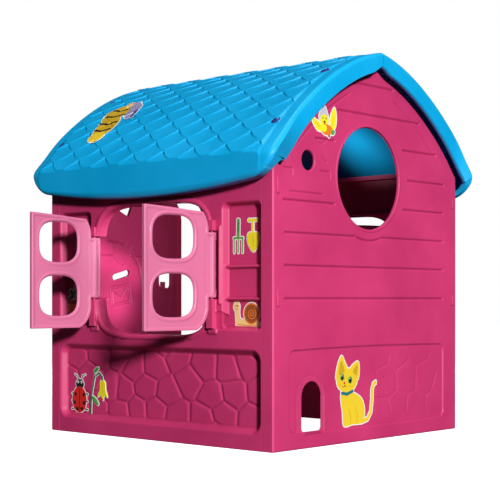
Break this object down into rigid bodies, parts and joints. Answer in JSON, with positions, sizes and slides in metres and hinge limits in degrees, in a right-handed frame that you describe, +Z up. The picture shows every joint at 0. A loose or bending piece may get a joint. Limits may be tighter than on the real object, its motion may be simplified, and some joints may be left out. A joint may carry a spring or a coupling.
{
  "type": "plastic playhouse",
  "caption": "Child-size moulded plastic playhouse with an arched two-part shingled roof, swinging window shutters, a hinged arched door and a round gable window.",
  "frame": {"origin": "on the ground under the middle of the whole object's bounding box, with the left shutters and the door at their rest positions", "axes": "+Z up; -X out of the side wall with the open shutters; -Y out of the gable with the round window; +Y out of the gable with the door"},
  "size_m": [1.2678, 1.1346, 1.202],
  "materials": {
    "magenta_plastic": "moulded polypropylene with a fine satin grain",
    "pink_plastic": "smooth moulded plastic",
    "blue_plastic": "semi-gloss moulded plastic with raised shingles",
    "indigo_plastic": "moulded plastic",
    "door_plastic": "moulded polypropylene with a fine satin grain",
    "pin_plastic": "smooth plastic rod",
    "clip_plastic": "moulded plastic",
    "sticker_cat": "printed vinyl with a white border",
    "sticker_bird": "printed vinyl with a white border",
    "sticker_garden_tools": "printed vinyl with a white border",
    "sticker_snail": "printed vinyl with a white border",
    "sticker_flower_pot": "printed vinyl with a white border",
    "sticker_ladybird": "printed vinyl with a white border",
    "sticker_bee": "printed vinyl with a white border"
  },
  "bodies": {
    "house": {"rear_gable_wall": "magenta_plastic", "front_gable_wall": "magenta_plastic", "left_side_wall": "magenta_plastic", "right_side_wall": "magenta_plastic", "roof_left": "blue_plastic", "roof_right": "blue_plastic", "door_hinge_pin_lower": "pin_plastic", "door_hinge_pin_upper": "pin_plastic", "left_shutter_pin_rear": "pin_plastic", "left_shutter_pin_front": "pin_plastic", "right_shutter_pin_rear": "pin_plastic", "right_shutter_pin_front": "pin_plastic", "roof_screw_left_rear_upper": "indigo_plastic", "wall_clip_left_rear_upper": "clip_plastic", "roof_screw_left_rear_lower": "indigo_plastic", "wall_clip_left_rear_lower": "clip_plastic", "roof_screw_left_front_upper": "indigo_plastic", "wall_clip_left_front_upper": "clip_plastic", "roof_screw_left_front_lower": "indigo_plastic", "wall_clip_left_front_lower": "clip_plastic", "roof_screw_right_rear_upper": "indigo_plastic", "wall_clip_right_rear_upper": "clip_plastic", "roof_screw_right_rear_lower": "indigo_plastic", "wall_clip_right_rear_lower": "clip_plastic", "roof_screw_right_front_upper": "indigo_plastic", "wall_clip_right_front_upper": "clip_plastic", "roof_screw_right_front_lower": "indigo_plastic", "wall_clip_right_front_lower": "clip_plastic", "sticker_cat": "sticker_cat", "sticker_bird": "sticker_bird", "sticker_garden_tools": "sticker_garden_tools", "sticker_snail": "sticker_snail", "sticker_flower_pot": "sticker_flower_pot", "sticker_ladybird": "sticker_ladybird", "sticker_bee": "sticker_bee"},
    "door": {"door_leaf": "door_plastic"},
    "left_rear_shutter": {"left_shutter_rear": "pink_plastic"},
    "left_front_shutter": {"left_shutter_front": "pink_plastic"},
    "right_rear_shutter": {"right_shutter_rear": "pink_plastic"},
    "right_front_shutter": {"right_shutter_front": "pink_plastic"}
  },
  "joints": [
    {"name": "door_hinge", "type": "hinge", "parent": "house", "child": "door", "pos_m": [0.04389, 0.46822, 0.44], "axis": [0, 0, 1], "range_deg": [-20, 100]},
    {"name": "left_rear_shutter_hinge", "type": "hinge", "parent": "house", "child": "left_rear_shutter", "pos_m": [-0.37241, -0.28688, 0.54], "axis": [0, 0, 1], "range_deg": [-86, 64]},
    {"name": "left_front_shutter_hinge", "type": "hinge", "parent": "house", "child": "left_front_shutter", "pos_m": [-0.37241, 0.23832, 0.54], "axis": [0, 0, -1], "range_deg": [-89, 61]},
    {"name": "right_rear_shutter_hinge", "type": "hinge", "parent": "house", "child": "right_rear_shutter", "pos_m": [0.58019, -0.30288, 0.54], "axis": [0, 0, -1], "range_deg": [0, 150]},
    {"name": "right_front_shutter_hinge", "type": "hinge", "parent": "house", "child": "right_front_shutter", "pos_m": [0.58019, 0.22232, 0.54], "axis": [0, 0, 1], "range_deg": [0, 150]}
  ]
}
